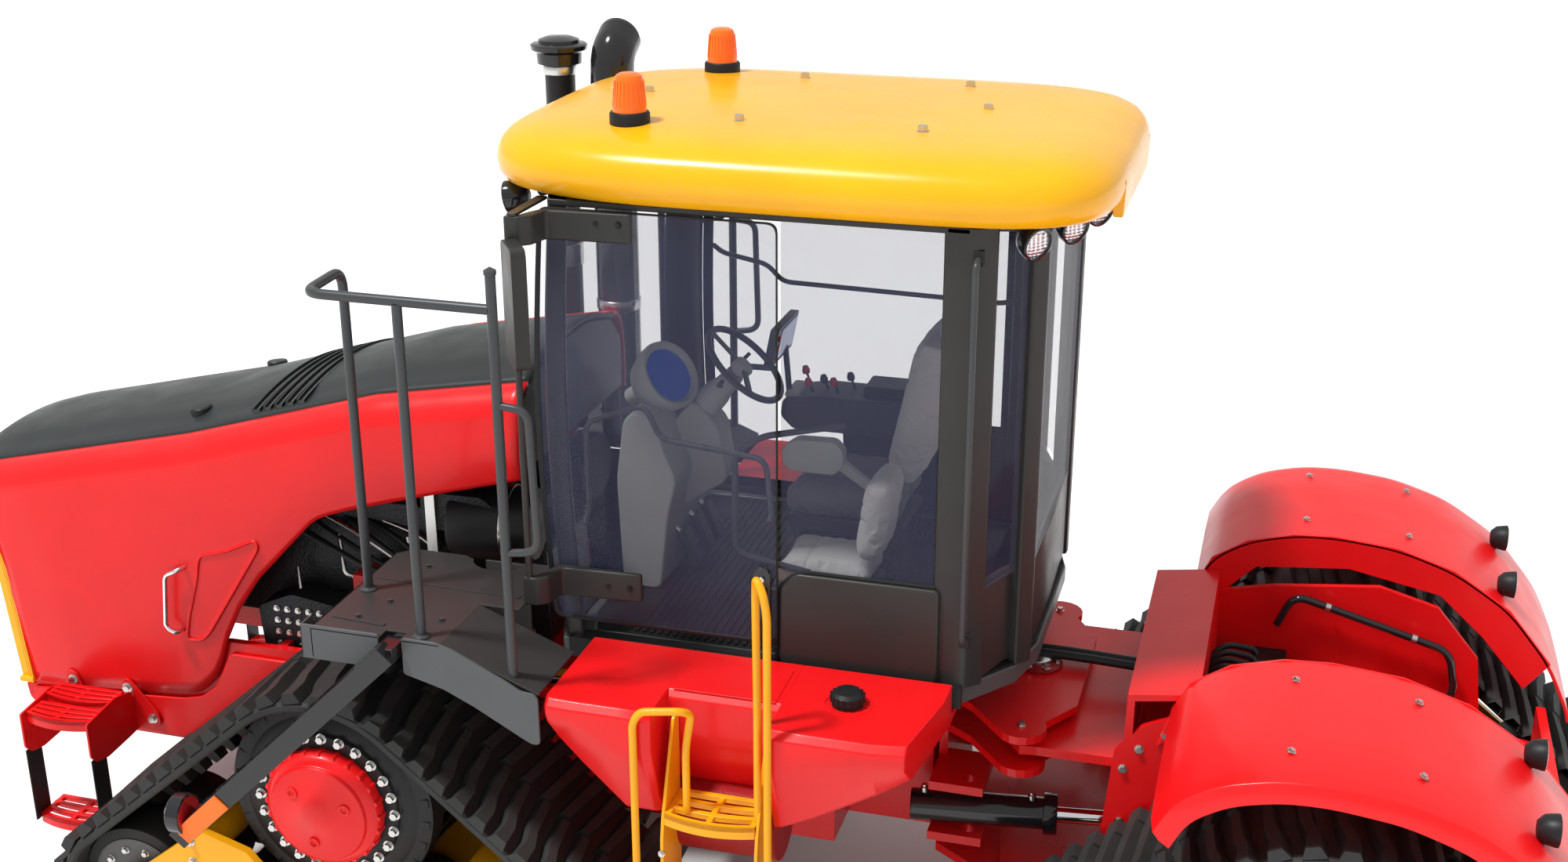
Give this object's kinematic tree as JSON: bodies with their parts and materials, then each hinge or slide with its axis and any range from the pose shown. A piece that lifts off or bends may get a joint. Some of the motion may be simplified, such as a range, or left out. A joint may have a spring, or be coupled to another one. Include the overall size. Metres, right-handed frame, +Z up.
{
  "type": "articulated four-track farm tractor",
  "caption": "Articulated farm tractor on four rubber tracks, with a glazed cab under a deep roof, a long tilting hood, side decks with handrails, side tanks and a centre hinge.",
  "frame": {"origin": "middle of the machine's length and width, on the ground", "axes": "+X towards the hood's nose, +Y to the machine's left, +Z up"},
  "size_m": [7.84, 3.5496, 3.944],
  "materials": {
    "red_paint": "gloss paint",
    "red_plastic": "gloss moulded",
    "yellow_paint": "gloss paint",
    "yellow_plastic": "gloss moulded",
    "dark_paint": "satin paint",
    "dark_metal": "satin",
    "engine_metal": "satin",
    "rail_black": "satin powder coat",
    "dark_plastic": "satin",
    "black_plastic": "satin",
    "grey_plastic": "fine grain",
    "tinted_glass": "blue-grey tint",
    "seat_fabric": "woven",
    "black_metal": "gloss black",
    "lamp_orange": "clear orange",
    "chrome": "polished",
    "belt_rubber": "matte moulded rubber",
    "hose_rubber": "matte moulded rubber"
  },
  "bodies": {
    "front_frame": {"front_frame": "red_paint", "front_axle": "red_paint", "drive_shaft": "dark_metal", "engine": "engine_metal", "fuel_tanks": "red_plastic", "cab_ladder": "yellow_paint", "front_steps": "red_paint", "track_platforms": "dark_paint", "platform_railings": "rail_black", "marker_arms": "dark_paint", "marker_lamps": "lamp_orange", "cab_floor": "dark_paint", "cab_pillars": "dark_paint", "cab_lower_panels": "dark_plastic", "cab_roof": "yellow_plastic", "cab_windows": "tinted_glass", "dashboard": "grey_plastic", "control_console": "grey_plastic", "seat_bases": "dark_plastic", "driver_seat": "seat_fabric", "instructor_seat": "seat_fabric", "exhaust_pipe": "black_metal", "air_intake": "dark_plastic", "mirrors": "black_plastic", "cab_grab_rails": "rail_black", "work_lamps": "black_plastic", "beacons": "lamp_orange"},
    "hood": {"hood_panels": "red_paint", "hood_top": "dark_plastic", "grille": "yellow_plastic", "hood_handles": "chrome"},
    "left_door": {"door_frame": "black_plastic", "door_glass": "tinted_glass", "door_arms": "black_plastic", "door_handles": "rail_black"},
    "steering_wheel": {"steering_wheel": "dark_plastic"},
    "hinge_link": {"hinge_link": "red_paint", "hinge_hoses": "hose_rubber"},
    "rear_frame": {"rear_frame": "red_paint", "rear_axle": "red_paint", "rear_fenders": "red_plastic", "fender_lamps": "black_plastic", "hydraulic_couplers": "engine_metal", "coupler_guard": "rail_black", "drawbar": "red_paint"},
    "left_barrel": {"left_cylinder_barrel": "red_paint"},
    "right_barrel": {"right_cylinder_barrel": "red_paint"},
    "left_rod": {"left_cylinder_rod": "chrome"},
    "right_rod": {"right_cylinder_rod": "chrome"},
    "front_left_track": {"front_left_belt": "belt_rubber", "front_left_undercarriage": "yellow_paint"},
    "front_right_track": {"front_right_belt": "belt_rubber", "front_right_undercarriage": "yellow_paint"},
    "rear_left_track": {"rear_left_belt": "belt_rubber", "rear_left_undercarriage": "yellow_paint"},
    "rear_right_track": {"rear_right_belt": "belt_rubber", "rear_right_undercarriage": "yellow_paint"}
  },
  "joints": [
    {"name": "frame_roll", "type": "hinge", "parent": "front_frame", "child": "hinge_link", "pos_m": [-0.82, 0, 0.83], "axis": [1, 0, 0], "range_deg": [-12, 12]},
    {"name": "articulation", "type": "hinge", "parent": "hinge_link", "child": "rear_frame", "pos_m": [-1.22, 0, 0.83], "axis": [0, 0, 1], "range_deg": [-32, 32], "deforming": ["hinge_hoses"]},
    {"name": "left_barrel_swivel", "type": "hinge", "parent": "hinge_link", "child": "left_barrel", "pos_m": [-1.01, 0.5, 0.83], "axis": [0, 0, 1], "range_deg": [-25, 25]},
    {"name": "right_barrel_swivel", "type": "hinge", "parent": "hinge_link", "child": "right_barrel", "pos_m": [-1.01, -0.5, 0.83], "axis": [0, 0, 1], "range_deg": [-25, 25]},
    {"name": "left_rod_slide", "type": "slide", "parent": "left_barrel", "child": "left_rod", "axis": [-0.9912, -0.1322, 0], "range_m": [-0.3, 0.3]},
    {"name": "right_rod_slide", "type": "slide", "parent": "right_barrel", "child": "right_rod", "axis": [-0.9912, 0.1322, 0], "range_m": [-0.3, 0.3]},
    {"name": "hood_tilt", "type": "hinge", "parent": "front_frame", "child": "hood", "pos_m": [3.75, 0, 0.86], "axis": [0, 1, 0], "range_deg": [0, 60]},
    {"name": "left_door_hinge", "type": "hinge", "parent": "front_frame", "child": "left_door", "pos_m": [0.735, 1.06, 1.8], "axis": [0, 0, -1], "range_deg": [0, 58]},
    {"name": "steering_wheel_turn", "type": "hinge", "parent": "front_frame", "child": "steering_wheel", "pos_m": [0.139, 0, 2.577], "axis": [-0.6691, 0, 0.7431], "continuous": true},
    {"name": "front_left_track_pitch", "type": "hinge", "parent": "front_frame", "child": "front_left_track", "pos_m": [1.552, 1.12, 0.954], "axis": [0, -1, 0], "range_deg": [-8, 8]},
    {"name": "front_right_track_pitch", "type": "hinge", "parent": "front_frame", "child": "front_right_track", "pos_m": [1.552, -1.12, 0.954], "axis": [0, 1, 0], "range_deg": [-8, 8]},
    {"name": "rear_left_track_pitch", "type": "hinge", "parent": "rear_frame", "child": "rear_left_track", "pos_m": [-2.488, 1.12, 0.954], "axis": [0, -1, 0], "range_deg": [-8, 8]},
    {"name": "rear_right_track_pitch", "type": "hinge", "parent": "rear_frame", "child": "rear_right_track", "pos_m": [-2.488, -1.12, 0.954], "axis": [0, 1, 0], "range_deg": [-8, 8]}
  ],
  "couplings": [
    {"joint": "left_barrel_swivel", "follows": "articulation", "ratio": 0.66},
    {"joint": "right_barrel_swivel", "follows": "articulation", "ratio": 0.66},
    {"joint": "left_rod_slide", "follows": "articulation", "m_per_rad": 0.46},
    {"joint": "right_rod_slide", "follows": "articulation", "m_per_rad": -0.46}
  ]
}
